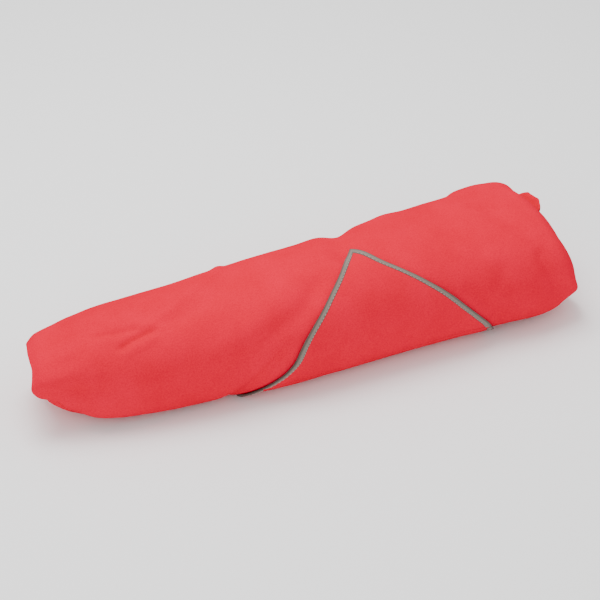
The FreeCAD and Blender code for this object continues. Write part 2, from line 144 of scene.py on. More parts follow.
# ---- folds: lines on the cloth as (x, distance from the roll's top line) -----------
# points, height (outward is positive), width of the ridge or valley
FOLDS = [
    ([(-66, -34), (-76, -21), (-102, -4), (-124, 9), (-136, 15)], 2.7, 4.5),
    ([(-58, -18), (-78, 4), (-104, 16), (-124, 24)], -2.4, 8.0),
    ([(-200, -14), (-180, 1), (-160, 12), (-144, 20)], 1.5, 5.0),
    ([(-146, 26), (-155, 28), (-164, 30), (-173, 34)], -4.6, 3.0),
    ([(-148, 34), (-160, 37), (-170, 38)], 1.4, 4.0),
    ([(-159, 20), (-172, 19), (-187, 15)], -2.4, 3.4),
    ([(-232, 44), (-212, 56), (-197, 62)], -2.6, 7.0),
    ([(-182, 30), (-190, 44), (-194, 60)], -1.4, 6.0),
    ([(-69, 4), (-75, 30), (-78, 54), (-77, 92)], -1.1, 6.0),
    ([(-4, 30), (-22, 48), (-52, 61), (-76, 73), (-97, 82)], -3.2, 9.0),
    ([(-30, 22), (-52, 38), (-76, 50), (-104, 60)], 1.3, 10.0),
    ([(52, -62), (46, -38), (38, -14), (34, 4)], -5.5, 12.0),
    ([(98, -50), (92, -26), (84, 0)], 2.4, 15.0),
    ([(-46, 79), (-60, 92), (-80, 108), (-96, 122)], -4.0, 5.5),
    ([(126, 76), (140, 92), (160, 116)], -3.0, 5.5),
    ([(199, 66), (203, 80), (209, 98)], -3.4, 6.5),
    ([(214, 60), (217, 76), (220, 92)], 1.6, 5.0),
    ([(148, 92), (154, 80), (160, 68)], -1.5, 8.0),
    ([(128, 16), (140, 29), (148, 42)], -1.6, 10.0),
    ([(176, 10), (190, 34), (196, 52)], -1.3, 9.0),
    ([(150, -20), (170, 4), (178, 22)], 1.0, 9.0),
    ([(84, -20), (100, 6), (110, 22)], -1.0, 12.0),
    ([(-212, 30), (-216, 52), (-214, 76)], -3.0, 8.0),
    ([(-150, -60), (-110, -46), (-70, -52)], -1.6, 9.0),
    ([(-20, -70), (30, -52), (80, -64)], 1.4, 12.0),
    ([(60, -90), (110, -74), (170, -86)], -1.8, 10.0),
    ([(-190, -40), (-170, -60), (-160, -84)], -1.6, 8.0),
]
WAVE = 0.55                     # height of the cloth's slow unevenness
WAVE_LENGTH = 34.0
FINE_WAVE_LENGTH = 13.0
FINE_WAVE_SHARE = 0.35
LAYER_HEIGHT = 2.4              # a second layer under the cloth at the back of the wide end
RIM_CENTRE = 1.5                # a low ridge stands 229 mm to each side of this x
RIM_OUT = 229.0
RIM_WIDTH = 3.0


def line_distance(px, pt, points):
    """Distance of the places (px, pt) from a run of straight pieces."""
    best = np.full(np.shape(px), 1e9)
    for (x0, t0), (x1, t1) in zip(points[:-1], points[1:]):
        dx, dt = x1 - x0, t1 - t0
        share = np.clip(((px - x0) * dx + (pt - t0) * dt) / (dx * dx + dt * dt), 0, 1)
        best = np.minimum(best, np.hypot(px - x0 - share * dx, pt - t0 - share * dt))
    return best


def waves(x, t):
    """Slow unevenness of soft cloth, smooth and the same on every run."""
    flat_x, flat_t = np.ravel(x), np.ravel(t)
    values = [noise.noise(Vector((a / WAVE_LENGTH, b / WAVE_LENGTH, 3.7))) * 1.3
              + noise.noise(Vector((a / FINE_WAVE_LENGTH, b / FINE_WAVE_LENGTH, 9.1))) * FINE_WAVE_SHARE
              for a, b in zip(flat_x, flat_t)]
    return np.reshape(values, np.shape(x)) * WAVE


def relief(x, t):
    """Height of the folds above the plain roll."""
    total = np.zeros(np.shape(x))
    for points, height, width in FOLDS:
        d = line_distance(x, t, points) / width
        total += height * np.exp(-d * d)
    layer = smooth(168, 176, x) * (1 - smooth(220, 231, x))
    layer = layer * (1 - smooth(-38, -30, t)) * smooth(-92, -74, t)
    rim = np.exp(-((np.abs(x - RIM_CENTRE) - RIM_OUT) / RIM_WIDTH) ** 2)
    return total + LAYER_HEIGHT * layer + rim


# ---- the roll as a table: position, direction outwards, for x and t -----------------
X_STEP = 2.0
T_STEP = 1.0
GRID_X = np.arange(-END, END + 0.1, X_STEP)
GRID_T = np.arange(-175.0, 176.0, T_STEP)


def make_table():
    angles = np.radians(np.arange(-88.0, 268.1, 0.5))
    rows = []
    for x in GRID_X:
        points = section(np.full(len(angles), x), angles)
        steps = np.linalg.norm(np.diff(points, axis=0), axis=1)
        run = np.concatenate([[0.0], np.cumsum(steps)])
        run -= run[np.argmax(points[:, 2])]
        rows.append(np.stack([np.interp(GRID_T, run, points[:, i]) for i in range(3)], -1))
    place = np.array(rows)
    lengthways = np.gradient(place, axis=0)
    across = np.gradient(place, axis=1)
    out = np.cross(across, lengthways)
    size = np.linalg.norm(out, axis=-1, keepdims=True)
    out = out / np.maximum(size, 1e-9)
    if out[len(GRID_X) // 2, np.searchsorted(GRID_T, 0.0), 2] < 0:
        out = -out
    return place, out


PLACE, OUT = make_table()
GX, GT = np.meshgrid(GRID_X, GRID_T, indexing="ij")
RELIEF = relief(GX, GT) + waves(GX, GT)


def look_up(table, x, t):
    """Table value at x and t, between its four nearest entries."""
    fx = np.clip((x + END) / X_STEP, 0, len(GRID_X) - 1.001)
    ft = np.clip((t - GRID_T[0]) / T_STEP, 0, len(GRID_T) - 1.001)
    i, j = fx.astype(int), ft.astype(int)
    u, v = fx - i, ft - j
    if table.ndim == 3:
        u, v = u[..., None], v[..., None]
    return ((table[i, j] * (1 - u) + table[i + 1, j] * u) * (1 - v)
            + (table[i, j + 1] * (1 - u) + table[i + 1, j + 1] * u) * v)


def on_roll(x, t, offset, folds=1.0):
    """Points at height offset above the cloth; folds scales the relief under them."""
    x, t = np.broadcast_arrays(np.asarray(x, float), np.asarray(t, float))
    base = look_up(PLACE, x, t)
    out = look_up(OUT, x, t)
    out = out / np.linalg.norm(out, axis=-1, keepdims=True)
    return base + out * (offset + folds * look_up(RELIEF, x, t))[..., None]


def t_at_height(x, z, front):
    """Distance from the top line to where the section at x comes down to height z."""
    i = int(round((x + END) / X_STEP))
    i = min(max(i, 0), len(GRID_X) - 1)
    heights = PLACE[i, :, 2]
    side = GRID_T > 0 if front else GRID_T < 0
    t = GRID_T[side]
    h = heights[side]
    below = h <= z
    if not below.any():
        return t[np.argmin(h)]
    return t[below].min() if front else t[below].max()


LIP_T = np.array([t_at_height(x, LIP_Z, True) for x in GRID_X])


def smoothed(values, passes=12):
    for _ in range(passes):
        values = np.convolve(np.pad(values, 1, mode="edge"), (0.25, 0.5, 0.25), "valid")
    return values


LIP_T = smoothed(LIP_T)


def lip_t(x):
    return np.interp(x, GRID_X, LIP_T)


# ---- mesh helpers -------------------------------------------------------------------
def new_object(name, verts, faces):
    mesh = bpy.data.meshes.new(name)
    mesh.from_pydata([tuple(v) for v in verts], [], faces)
    mesh.validate()
    mesh.update()
    obj = bpy.data.objects.new(name, mesh)
    bpy.context.scene.collection.objects.link(obj)
    return obj


def grid_faces(rows, columns, closed=False):
    faces = []
    for i in range(rows - 1):
        for j in range(columns if closed else columns - 1):
            k = (j + 1) % columns
            faces.append((i * columns + j, i * columns + k,
                          (i + 1) * columns + k, (i + 1) * columns + j))
    return faces


def grid_object(name, points):
    """Mesh of a grid of points in millimetres."""
    rows, columns = points.shape[:2]
    return new_object(name, points.reshape(-1, 3) * MM, grid_faces(rows, columns))


def settle(obj):
    """Replaces the object's mesh by the one its modifiers make."""
    bpy.context.view_layer.update()
    graph = bpy.context.evaluated_depsgraph_get()
    mesh = bpy.data.meshes.new_from_object(obj.evaluated_get(graph))
    obj.modifiers.clear()
    obj.data = mesh


def outward(obj):
    """Makes the faces of a closed mesh look outwards."""
    work = bmesh.new()
    work.from_mesh(obj.data)
    bmesh.ops.recalc_face_normals(work, faces=work.faces)
    work.to_mesh(obj.data)
    work.free()


def thicken(obj, thickness, rim=0.0):
    """Gives a sheet its thickness, half to each side, and softens its edges."""
    solid = obj.modifiers.new("solid", "SOLIDIFY")
    solid.thickness = thickness * MM
    solid.offset = 0.0
    solid.use_even_offset = False
    solid.edge_crease_rim = rim
    soft = obj.modifiers.new("soft", "SUBSURF")
    soft.levels = 1
    soft.render_levels = 1
    settle(obj)
    outward(obj)
    shade(obj)
    return obj


def shade(obj):
    obj.data.polygons.foreach_set("use_smooth", [True] * len(obj.data.polygons))
    obj.data.update()


def finish_piece(obj, material):
    obj.data.materials.clear()
    obj.data.materials.append(material)


# ---- materials ----------------------------------------------------------------------
MIX_A, MIX_B, MIX_RESULT = 6, 7, 2   # the colour sockets of a mix node


class Nodes:
    """Small helper that builds a material's node tree."""

    def __init__(self, name):
        self.material = bpy.data.materials.new(name)
        self.material.use_nodes = True
        self.tree = self.material.node_tree
        self.tree.nodes.clear()
        self.shader = self.add("ShaderNodeBsdfPrincipled")
        out = self.add("ShaderNodeOutputMaterial")
        self.join(self.shader, "BSDF", out, "Surface")
        self.coords = self.add("ShaderNodeTexCoord")

    def add(self, kind, **values):
        node = self.tree.nodes.new(kind)
        for key, value in values.items():
            setattr(node, key, value)
        return node

    def join(self, a, out, b, into):
        self.tree.links.new(a.outputs[out], b.inputs[into])

    def set(self, **values):
        for key, value in values.items():
            self.shader.inputs[key.replace("_", " ")].default_value = value

    def noise(self, scale, detail=3.0, roughness=0.6, stretch=None):
        node = self.add("ShaderNodeTexNoise")
        node.inputs["Scale"].default_value = scale
        node.inputs["Detail"].default_value = detail
        node.inputs["Roughness"].default_value = roughness
        source, out = self.coords, "Object"
        if stretch:
            mapping = self.add("ShaderNodeMapping")
            mapping.inputs["Scale"].default_value = stretch
            self.join(source, out, mapping, "Vector")
            source, out = mapping, "Vector"
        self.join(source, out, node, "Vector")
        return node

    def wave(self, scale, axis):
        node = self.add("ShaderNodeTexWave", wave_type="BANDS", bands_direction=axis)
        node.inputs["Scale"].default_value = scale
        node.inputs["Distortion"].default_value = 0.6
        node.inputs["Detail"].default_value = 1.0
        self.join(self.coords, "Object", node, "Vector")
        return node

    def ramp(self, source, out, stops):
        node = self.add("ShaderNodeValToRGB")
        elements = node.color_ramp.elements
        while len(elements) < len(stops):
            elements.new(0.5)
        for element, (place, colour) in zip(elements, stops):
            element.position = place
            element.color = (*colour, 1.0)
        self.join(source, out, node, "Fac")
        return node

    def multiplied(self, a, b, share):
        """Colour a darkened by a share of colour b."""
        node = self.add("ShaderNodeMix", data_type="RGBA", blend_type="MULTIPLY")
        node.inputs[0].default_value = share
        self.tree.links.new(a.outputs["Color"], node.inputs[MIX_A])
        self.tree.links.new(b.outputs["Color"], node.inputs[MIX_B])
        return node

    def paint(self, mixed):
        self.tree.links.new(mixed.outputs[MIX_RESULT], self.shader.inputs["Base Color"])

    def weave(self, warp_scale, warp_axis, weft_scale, weft_axis, distance, strength=1.0):
        """Bump of two sets of threads that cross."""
        warp = self.wave(warp_scale, warp_axis)
        weft = self.wave(weft_scale, weft_axis)
        crossed = self.multiplied(warp, weft, 0.5)
        self.join(self.bump(crossed, MIX_RESULT, distance, strength), "Normal", self.shader, "Normal")

    def bump(self, source, out, distance, strength=1.0, under=None):
        node = self.add("ShaderNodeBump")
        node.inputs["Distance"].default_value = distance
        node.inputs["Strength"].default_value = strength
        self.join(source, out, node, "Height")
        if under:
            self.join(under, "Normal", node, "Normal")
        return node


def cloth_material():
    """Brushed stretch cloth: a fine twill under a short nap."""
    n = Nodes("wrap_cloth")
    slow = n.noise(22.0, 2.0)
    slow_colour = n.ramp(slow, "Fac", [(0.30, (0.67, 0.0, 0.026)), (0.70, (0.75, 0.0, 0.033))])
    nap = n.noise(900.0, 3.0, 0.7)
    nap_colour = n.ramp(nap, "Fac", [(0.34, (0.72, 0.72, 0.72)), (0.62, (1.0, 1.0, 1.0))])
    n.paint(n.multiplied(slow_colour, nap_colour, 0.60))
    twill = n.wave(420.0, "DIAGONAL")
    lumps = n.noise(260.0, 3.0, 0.6)
    first = n.bump(twill, "Fac", 0.00006, 0.5)
    second = n.bump(nap, "Fac", 0.00022, 0.8, first)
    third = n.bump(lumps, "Fac", 0.00045, 0.5, second)
    n.join(third, "Normal", n.shader, "Normal")
    n.set(Roughness=0.95, Sheen_Weight=0.03, Sheen_Roughness=0.35,
          Sheen_Tint=(1.0, 0.25, 0.28, 1.0), Specular_IOR_Level=0.0)
    return n.material


def binding_material():
    """Folded tape: ribbed weave, paler along the middle; painted shade darkens it towards its two folds,
    where it turns under.
    """
    n = Nodes("binding")
    across = n.add("ShaderNodeAttribute", attribute_name="across")
    # painted shade: this ramp over the attribute across darkens the tape towards both of its folds
    tape_tone_and_fold_shade = n.ramp(across, "Fac", [(0.0, (0.07, 0.050, 0.042)), (0.20, (0.12, 0.096, 0.080)),
                                  (0.36, (0.185, 0.157, 0.128)), (0.64, (0.205, 0.174, 0.143)),
                                  (0.82, (0.12, 0.096, 0.080)), (1.0, (0.07, 0.050, 0.042))])
    grain = n.noise(900.0, 3.0, 0.7)
    grain_colour = n.ramp(grain, "Fac", [(0.35, (0.72, 0.72, 0.72)), (0.65, (1.0, 1.0, 1.0))])
    n.paint(n.multiplied(tape_tone_and_fold_shade, grain_colour, 0.5))
    ribs = n.wave(520.0, "X")
    first = n.bump(ribs, "Fac", 0.00012, 0.7)
    second = n.bump(grain, "Fac", 0.00012, 0.5, first)
    n.join(second, "Normal", n.shader, "Normal")
    n.set(Roughness=0.78, Sheen_Weight=0.15, Sheen_Roughness=0.5, Specular_IOR_Level=0.25)
    return n.material


def thread_material():
    n = Nodes("thread")
    twist = n.noise(3000.0, 2.0, 0.6)
    colour = n.ramp(twist, "Fac", [(0.3, (0.26, 0.22, 0.19)), (0.7, (0.44, 0.39, 0.35))])
    n.join(colour, "Color", n.shader, "Base Color")
    n.set(Roughness=0.55, Sheen_Weight=0.2)
    return n.material


def plush_material():
    """Short nylon pile, all combed along the skin."""
    n = Nodes("skin_plush")
    pile = n.noise(700.0, 4.0, 0.75, (0.12, 1.0, 1.0))
    colour = n.ramp(pile, "Fac", [(0.30, (0.018, 0.020, 0.024)), (0.55, (0.055, 0.060, 0.070)),
                                  (0.75, (0.16, 0.17, 0.19))])
    slow = n.noise(30.0, 2.0)
    tint = n.ramp(slow, "Fac", [(0.35, (0.70, 0.70, 0.72)), (0.65, (1.0, 1.0, 1.0))])
    n.paint(n.multiplied(colour, tint, 0.7))
    low = n.bump(pile, "Fac", 0.0009, 0.9)
    fine = n.noise(2600.0, 2.0, 0.6, (0.2, 1.0, 1.0))
    high = n.bump(fine, "Fac", 0.0002, 0.7, low)
    n.join(high, "Normal", n.shader, "Normal")
    n.set(Roughness=0.7, Sheen_Weight=0.55, Sheen_Roughness=0.35, Specular_IOR_Level=0.3)
    return n.material


def backing_material():
    """Woven backing under a thin tacky glue."""
    n = Nodes("skin_backing")
    n.weave(330.0, "X", 330.0, "Y", 0.0002, 0.6)
    stain = n.noise(60.0, 4.0, 0.7)
    colour = n.ramp(stain, "Fac", [(0.3, (0.030, 0.024, 0.018)), (0.7, (0.085, 0.070, 0.052))])
    n.join(colour, "Color", n.shader, "Base Color")
    n.set(Roughness=0.42, Coat_Weight=0.25, Coat_Roughness=0.35)
    return n.material


def saver_material():
    n = Nodes("glue_saver")
    n.weave(500.0, "X", 500.0, "Y", 0.00015)
    mottle = n.noise(400.0, 3.0)
    colour = n.ramp(mottle, "Fac", [(0.3, (0.62, 0.62, 0.58)), (0.7, (0.84, 0.84, 0.81))])
    n.join(colour, "Color", n.shader, "Base Color")
    n.set(Roughness=0.7, Sheen_Weight=0.1)
    return n.material


def webbing_material():
    n = Nodes("webbing")
    n.weave(300.0, "Y", 480.0, "X", 0.0003)
    fuzz = n.noise(1200.0, 3.0, 0.7)
    colour = n.ramp(fuzz, "Fac", [(0.35, (0.018, 0.018, 0.020)), (0.7, (0.075, 0.075, 0.080))])
    n.join(colour, "Color", n.shader, "Base Color")
    n.set(Roughness=0.65, Sheen_Weight=0.25, Specular_IOR_Level=0.4)
    return n.material


def metal_material(name, dark, light, rough, stretch):
    n = Nodes(name)
    brush = n.noise(600.0, 4.0, 0.6, stretch)
    colour = n.ramp(brush, "Fac", [(0.3, dark), (0.7, light)])
    n.join(colour, "Color", n.shader, "Base Color")
    wear = n.ramp(brush, "Fac", [(0.3, (rough - 0.08,) * 3), (0.7, (rough + 0.10,) * 3)])
    n.join(wear, "Color", n.shader, "Roughness")
    bump = n.bump(brush, "Fac", 0.00004, 0.5)
    n.join(bump, "Normal", n.shader, "Normal")
    n.set(Metallic=1.0)
    return n.material


CLOTH_MAT = cloth_material()
BINDING_MAT = binding_material()
THREAD_MAT = thread_material()
PLUSH_MAT = plush_material()
BACKING_MAT = backing_material()
SAVER_MAT = saver_material()
WEBBING_MAT = webbing_material()
STEEL_MAT = metal_material("steel", (0.50, 0.50, 0.51), (0.70, 0.70, 0.71), 0.30, (1.0, 0.15, 1.0))
ALUMINIUM_MAT = metal_material("aluminium", (0.62, 0.63, 0.64), (0.80, 0.81, 0.82), 0.38, (1.0, 1.0, 1.0))

# ---- the outer cloth: up the back, over the roll and down the front -------------------
ROW = 3.3                       # spacing of the mesh's rows
COLUMNS = 92
CAP = [                         # end tucks: share of the section left, share of the way in
    (0.985, -0.03), (0.955, -0.03), (0.91, 0.02), (0.85, 0.11), (0.77, 0.25), (0.67, 0.43),
    (0.55, 0.62), (0.42, 0.79), (0.28, 0.92), (0.15, 0.98), (0.012, 1.0),
]
RIM_SHAPE = {                   # how far the rim stands out at places t round it
    -1: [(-90, -15), (-60, -14), (-45, -9), (-32, -1), (-20, 1), (0, 6), (10, 7.5), (20, 8.5),
         (30, 11), (35, 13), (40, 12.5), (46, 5), (53, -2), (62, -5), (90, -8)],
    1: [(-90, 2), (-60, 2), (-40, 0), (-20, -1), (0, 0), (20, -0.5), (40, -2), (60, 1),
        (75, 4), (86, 7.5), (94, 12), (101, 13.5), (107, 9), (116, 2)],
}
RIM_DEPTH = {-1: 58.0, 1: 30.0}  # how far in from the ends that shape fades out
CAP_IN = {-1: 16.0, 1: 11.0}    # how far in the middle of each tuck lies
CAP_CENTRES = {-1: (4.0, 35.0), 1: (-0.5, 36.0)}
PLEATS = [(3, 0.5, 1.6), (5, 1.9, 1.3), (8, 0.4, 0.7), (13, 2.2, 0.35)]  # count, phase, size
SKIRT_DEPTH = 9.0               # how far the lap's front edge hangs lower at the narrow end
SKIRT_X = (-76.0, -56.0)        # and the two places between which that ends
REAR_Z = 3.6                    # least height of the lap's rear edge,
REAR_RISE = 4.5                 # and its height above the underside where that is higher
HINGE_OVER = (0.0, -0.66, 0.75)  # direction over the bend, from the base to the lap


def plane_height(x, y):
    return (PLANE_DISTANCE - PLANE_NORMAL[0] * x - PLANE_NORMAL[1] * y) / PLANE_NORMAL[2]


def skirt_height(x):
    """Height to which the lap's front edge comes down."""
    y = along(4, x) + CENTRE_SHIFT - along(1, x) * 0.95
    deep = SKIRT_DEPTH * (1 - smooth(*SKIRT_X, x))
    return max(plane_height(x, y) - deep, float(along(3, x)) + 3.0, 5.0)


def cap_rows(rim, side):
    """Rows that carry the rim on towards the middle of the end, pleated, while they close
    the part of the round that the rim leaves open below."""
    cy, cz = CAP_CENTRES[side]
    ring = section(np.full(361, side * END), np.radians(np.arange(-90.0, 271.0)), -CLOTH / 2)
    ring_turn = np.unwrap(np.arctan2(ring[:, 2] - cz, ring[:, 1] - cy))
    ring_radius = np.hypot(ring[:, 1] - cy, ring[:, 2] - cz)
    turn = np.unwrap(np.arctan2(rim[:, 2] - cz, rim[:, 1] - cy))
    radius = np.hypot(rim[:, 1] - cy, rim[:, 2] - cz)
    stand_out = radius / np.interp(turn, ring_turn, ring_radius) - 1
    whole = np.linspace(-math.pi / 2, 1.5 * math.pi, len(rim))
    rows = []
    for share, inwards in CAP:
        spread = float(smooth(1.0, 0.80, share))
        here = turn + (whole - turn) * spread
        reach = share * np.interp(here, ring_turn, ring_radius) * (1 + stand_out * (1 - spread))
        pleat = sum(size * np.cos(count * here + phase) for count, phase, size in PLEATS)
        pleat = pleat * math.sin(math.pi * min(1.0, (1 - share) * 1.15))
        x = rim[:, 0] + (side * (END - CAP_IN[side]) - rim[:, 0]) * inwards
        rows.append(np.stack([x - side * pleat, cy + reach * np.cos(here),
                              cz + reach * np.sin(here)], -1))
    return rows


def end_shape(x, t):
    """Sideways pull of the cloth near the two ends."""
    pull = np.zeros(np.shape(x))
    places = np.arange(-90.0, 117.0)
    for side, rim in RIM_SHAPE.items():
        out = smoothed(np.interp(places, [p for p, _ in rim], [q for _, q in rim]), 9)
        pull += side * smooth(END - RIM_DEPTH[side], END, side * x) * np.interp(t, places, out)
    return pull


def outer_cloth():
    xs = np.linspace(-END, END, int(2 * END / ROW) + 1)
    rear_heights = [max(REAR_Z, float(along(3, x)) + REAR_RISE) for x in xs]
    rear = smoothed(np.array([t_at_height(x, z, False) for x, z in zip(xs, rear_heights)]), 4)
    front = smoothed(np.array([t_at_height(x, skirt_height(x), True) for x in xs]), 4)
    share = np.linspace(0.0, 1.0, COLUMNS)
    t = rear[:, None] + (front - rear)[:, None] * share[None, :]
    x = np.repeat(xs[:, None], COLUMNS, 1)
    points = on_roll(x, t, -CLOTH / 2)
    points[..., 0] += end_shape(x, t)
    for side, rim_row, flip in ((-1, points[0], True), (1, points[-1], False)):
        rows = cap_rows(rim_row, side)
        if flip:
            points = np.concatenate([np.array(rows[::-1]), points])
        else:
            points = np.concatenate([points, np.array(rows)])
    points[..., 2] = np.maximum(points[..., 2], 0.8)
    obj = grid_object("lap_cloth", points)
    return thicken(obj, CLOTH)


def hinge_blend(obj):
    """Works out the axis of the hinge at the roll's back and the way over its bend, then bakes the
    object's transform into its mesh; nothing is bent here.
    """
    axis = HINGE[1] - HINGE[0]
    axis /= np.linalg.norm(axis)
    over = np.array(HINGE_OVER)
    over -= axis * over.dot(axis)
    over /= np.linalg.norm(over)
    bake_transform(obj)


lap_cloth = outer_cloth()
finish_piece(lap_cloth, CLOTH_MAT)
hinge_blend(lap_cloth)
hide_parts("wrap_lap")

# ---- a fold of the cloth that stands out of the wide end, behind the rim ----------------
EAR = [                         # outline of the folded cloth: out of the end, above the roll
    (-7.0, -11.0), (-1.0, -9.0), (3.0, -5.5), (6.0, -1.0), (8.2, 3.6), (9.4, 5.0), (10.2, 3.6),
    (9.4, -1.2), (5.5, -6.5), (-1.0, -12.0),
]


EAR_T = (-54.0, -5.0)           # from where to where it stands, round the rim
EAR_COLUMNS = 19


def end_tuck():
    across = np.linspace(*EAR_T, EAR_COLUMNS)
    wavy = 0.9 * np.sin(across * 0.30) + 0.4 * np.sin(across * 0.71 + 1.0)
    hump = np.sin(np.linspace(0.08, 0.88, EAR_COLUMNS) * math.pi) ** 0.6
    grid = []
    for out, rise in EAR:
        row = on_roll(np.full(EAR_COLUMNS, END - 1.0), across, wavy * 0.5, 0.3)
        row[:, 0] += max(out, 0.0) * hump + min(out, 0.0) + wavy * 0.5 * (out > 5)
        row[:, 2] += rise * hump - 4.0 * (1 - hump)
        grid.append(row)
    return thicken(grid_object("end_tuck_cloth", np.array(grid)), 0.9)


tuck = end_tuck()
finish_piece(tuck, CLOTH_MAT)
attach(tuck, "lap")

# ---- the base: the layer under the skins, a shallow tray ------------------------------
BASE_OFFSET = -2.1              # it lies this far inside the roll's surface
BASE_REAR_Z = 39.0              # heights of its two long edges
BASE_FRONT_Z = 10.0
BASE_LEAN = 4.5                 # its front edge leans in, behind the lap's
BASE_END_INSET = {-1: 17.0, 1: 11.0}


def base_cloth():
    xs = np.linspace(-END + 2.6, END - 2.6, 120)
    columns = 64
    grid = []
    for x in xs:
        bottom = float(along(3, x))
        fine = np.radians(np.linspace(20, -200, 441))
        ring = section(np.full(len(fine), x), fine, BASE_OFFSET)
        lowest = int(np.argmin(ring[:, 2]))
        rear = int(np.argmin(np.abs(ring[:lowest, 2] - max(BASE_REAR_Z, bottom + 12))))
        front = lowest + int(np.argmin(np.abs(ring[lowest:, 2] - max(BASE_FRONT_Z, bottom + 8))))
        part = ring[rear:front + 1]
        run = np.concatenate([[0.0], np.cumsum(np.linalg.norm(np.diff(part, axis=0), axis=1))])
        even = np.linspace(0, run[-1], columns)
        row = np.stack([np.interp(even, run, part[:, i]) for i in range(3)], -1)
        height = smooth(max(bottom, 0.0) + 1.0, max(BASE_FRONT_Z, bottom + 8), row[:, 2])
        row[:, 1] += BASE_LEAN * height * (even > run[lowest - rear])
        grid.append(row)
    points = np.array(grid)
    ripple = waves(points[..., 0] * 1.3 + 400, points[..., 1])
    points[..., 2] = np.maximum(points[..., 2], 0.62) + np.abs(ripple) * 0.5 * (points[..., 2] < 3)
    ends = []
    for side, rim in ((-1, points[0]), (1, points[-1])):
        cy, cz = CAP_CENTRES[side]
        centre = np.array((rim[:, 0].mean(), cy, cz))
        rows = []
        for share, _ in CAP:
            row = centre + (rim - centre) * share
            row[:, 0] = rim[:, 0] - side * BASE_END_INSET[side] * smooth(0.0, 1.0, 1 - share)
            rows.append(row)
        ends.append(np.array(rows))
    points = np.concatenate([ends[0][::-1], points, ends[1]])
    return thicken(grid_object("base_cloth", points), CLOTH)


base = base_cloth()
finish_piece(base, CLOTH_MAT)
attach(base, "wrap")
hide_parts("wrap_base")

# ---- the corner flap, in the flat pattern: x, and s up from its root ------------------
FLAP_OVERLAP = 5.0              # the root strip's cloth gives way to the flap's here
ROOT_DEPTH = 19.0
TURN_UNDER = -6.0               # the corner's edges turn in under the roll from here
EDGE_INSET = 1.2                # the cloth's cut edge lies inside the binding
UNDER_FOLDS = 0.85              # share of the lap's folds that show through the corner
LEFT_PULL = 11.0                # the left edge is drawn in near its foot: how far, where
LEFT_PULL_S = 21.0              # up from the root, and over what length
LEFT_PULL_RUN = 17.0
RIGHT_EASE = 5.0                # the right edge stands out along its lower part, growing
RIGHT_EASE_S = (-14.0, 12.0)    # between the first two places and going back
RIGHT_BACK_S = (38.0, 102.0)    # between these
TIP_PULL = 9.0                  # the point is drawn up, and a little to the right
TIP_SIDE = 2.5
TIP_RUN_S = 13.0


def swayed(x, s):
    """Places of the flat pattern after the pull along the corner's edges."""
    side = (x - APEX_X) / np.maximum(REACH - s, 3.0)
    left = smooth(0.1, 1.0, -side) * np.exp(-((s - LEFT_PULL_S) / LEFT_PULL_RUN) ** 2)
    right = smooth(0.1, 1.0, side) * (1 - smooth(*RIGHT_BACK_S, s)) * smooth(*RIGHT_EASE_S, s)
    tip = np.exp(-((REACH - s) / TIP_RUN_S) ** 2)
    moved_x = x + LEFT_PULL * left + RIGHT_EASE * right + TIP_SIDE * tip
    return moved_x, s + RIGHT_EASE * right + TIP_PULL * tip


def on_flap(x, s, offset):
    """Points of the flat pattern laid on the roll."""
    x, s = swayed(x, s)
    return on_roll(x, lip_t(x) - s, offset, UNDER_FOLDS)


def flap_grid(s_low, s_high, rows, columns, inset):
    pull = inset * math.sqrt(2)
    top = min(s_high, REACH - pull - 0.4)
    s = np.linspace(s_low, top, rows)
    half = REACH - pull - np.maximum(s, TURN_UNDER)
    share = np.linspace(-1, 1, columns)
    x = APEX_X + half[:, None] * share[None, :]
    return x, np.repeat(s[:, None], columns, 1)


def flap_offset(x, s):
    """Height of the flap's middle above the lap: it swells a little away from its edges."""
    edge = np.clip((REACH - s - np.abs(x - APEX_X)) / 40.0, 0, 1)
    return LIFT + CLOTH / 2 + 0.25 + 0.9 * edge * smooth(0, 30, s)


def flap_cloth():
    x, s = flap_grid(FLAP_OVERLAP, 400.0, 42, 60, EDGE_INSET)
    return thicken(grid_object("flap_cloth", on_flap(x, s, flap_offset(x, s))), CLOTH, rim=1.0)


def root_cloth():
    x, s = flap_grid(-ROOT_DEPTH, FLAP_OVERLAP, 10, 72, EDGE_INSET)
    points = on_flap(x, s, flap_offset(x, s))
    points[..., 2] = np.maximum(points[..., 2], 0.7)
    return thicken(grid_object("flap_root_cloth", points), CLOTH, rim=1.0)


BEND_S = REACH * TIP_SHARE
BEND_REACH = 8.0                # the corner bends over this far to each side of its axis
BEND_OUT = 2.0                  # and the axis lies this far over the lap


def at_bend(x, up):
    return on_roll(x, lip_t(x) - BEND_S - up, BEND_OUT, UNDER_FOLDS)


def bend_blend(obj):
    """Works out the axis of the corner's second bend over the cloth, then bakes the object's transform
    into its mesh; nothing is bent here.
    """
    x = np.array([APEX_X - REACH + BEND_S, APEX_X + REACH - BEND_S])
    low, high = at_bend(x, -BEND_REACH), at_bend(x, BEND_REACH)
    ends = at_bend(x, 0.0)
    axis = ends[1] - ends[0]
    axis /= np.linalg.norm(axis)
    up = high.mean(0) - low.mean(0)
    up -= axis * up.dot(axis)
    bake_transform(obj)


def root_blend(obj):
    """Bakes the object's transform into its mesh; the corner's root, up the front of the base, is not bent
    here.
    """
    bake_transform(obj)


flap = flap_cloth()
finish_piece(flap, CLOTH_MAT)
bend_blend(flap)
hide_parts("corner_flap", "corner_flap_tip")

root = root_cloth()
finish_piece(root, CLOTH_MAT)
root_blend(root)

# ---- the binding round the corner's two edges, mitred at the point -------------------
PROFILE = [                     # across the tape, and height as a share of its thickness
    (0.0, 0.42), (0.02, 0.74), (0.08, 0.95), (0.17, 0.90), (0.30, 1.0), (0.50, 1.05),
    (0.70, 1.0), (0.83, 0.88), (0.92, 0.92), (0.98, 0.66), (1.0, 0.36),
    (0.97, 0.10), (0.80, 0.0), (0.50, -0.02), (0.20, 0.0), (0.04, 0.12),
]


